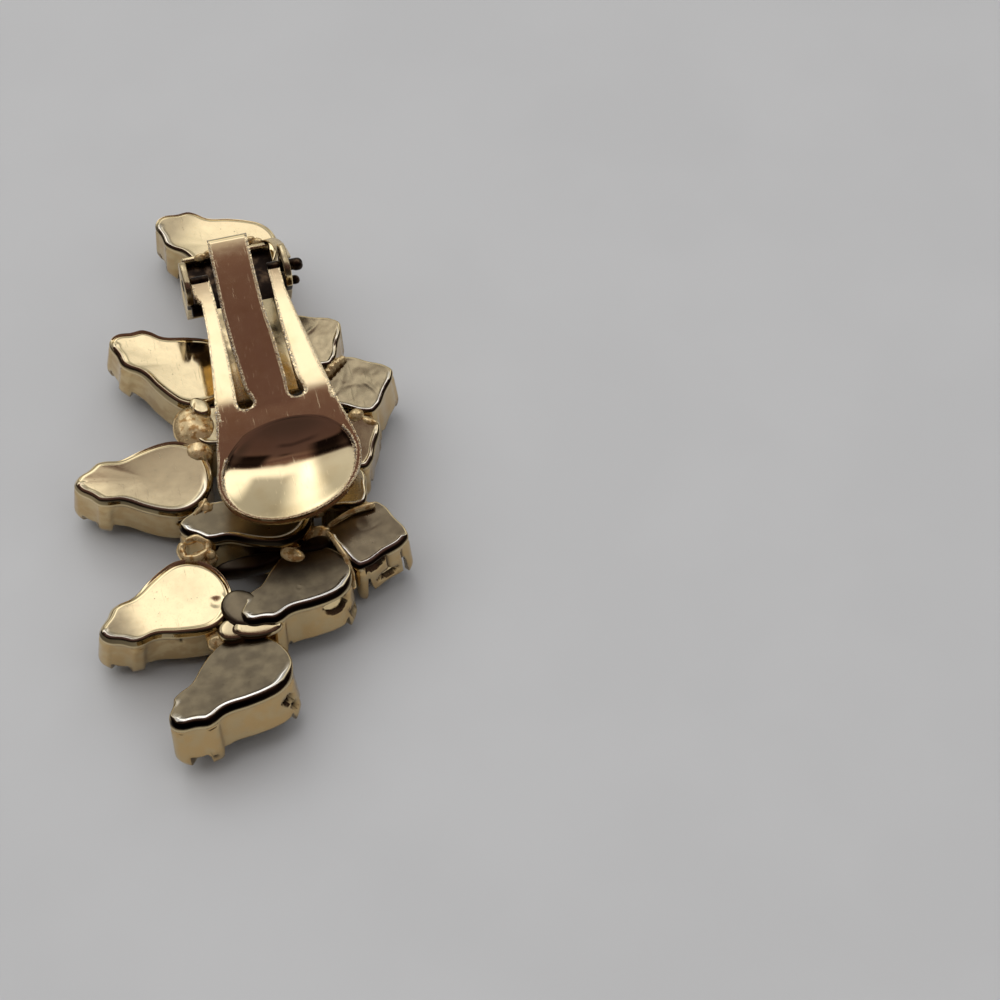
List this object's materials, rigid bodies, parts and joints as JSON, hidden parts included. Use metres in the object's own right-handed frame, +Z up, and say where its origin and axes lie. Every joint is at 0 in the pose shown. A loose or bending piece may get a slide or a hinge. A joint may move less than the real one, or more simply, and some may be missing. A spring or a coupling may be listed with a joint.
{
  "type": "clip-on earring",
  "caption": "Clip-on earring: a fan of pear and square stones in closed-back metal cups, soldered to a sprung paddle clip on a small hinge.",
  "frame": {"origin": "centre of the bounding box's bottom face, on the surface that the stones rest on", "axes": "+Z up from the stones to the clip, +Y from the clip's pad to its hinge, X along the hinge axis"},
  "size_m": [0.0242, 0.0434, 0.0089],
  "materials": {
    "gold_setting": "gold plated, polished, worn",
    "gold_clip": "gold plated, polished",
    "crystal": "cut and foiled"
  },
  "bodies": {
    "earring": {"setting": "gold_setting", "stone_pear_1": "crystal", "stone_pear_2": "crystal", "stone_pear_3": "crystal", "stone_pear_4": "crystal", "stone_pear_5": "crystal", "stone_pear_6": "crystal", "stone_pear_7": "crystal", "stone_pear_8": "crystal", "stone_square_1": "crystal", "stone_square_2": "crystal", "stone_square_3": "crystal", "stone_square_4": "crystal", "stone_square_5": "crystal", "stone_square_6": "crystal"},
    "clip": {"clip_paddle": "gold_clip"}
  },
  "joints": [
    {"name": "clip_hinge", "type": "hinge", "parent": "earring", "child": "clip", "pos_m": [0.00292, 0.0122, 0.0078], "axis": [-1, 0, 0], "range_deg": [0, 85]}
  ]
}
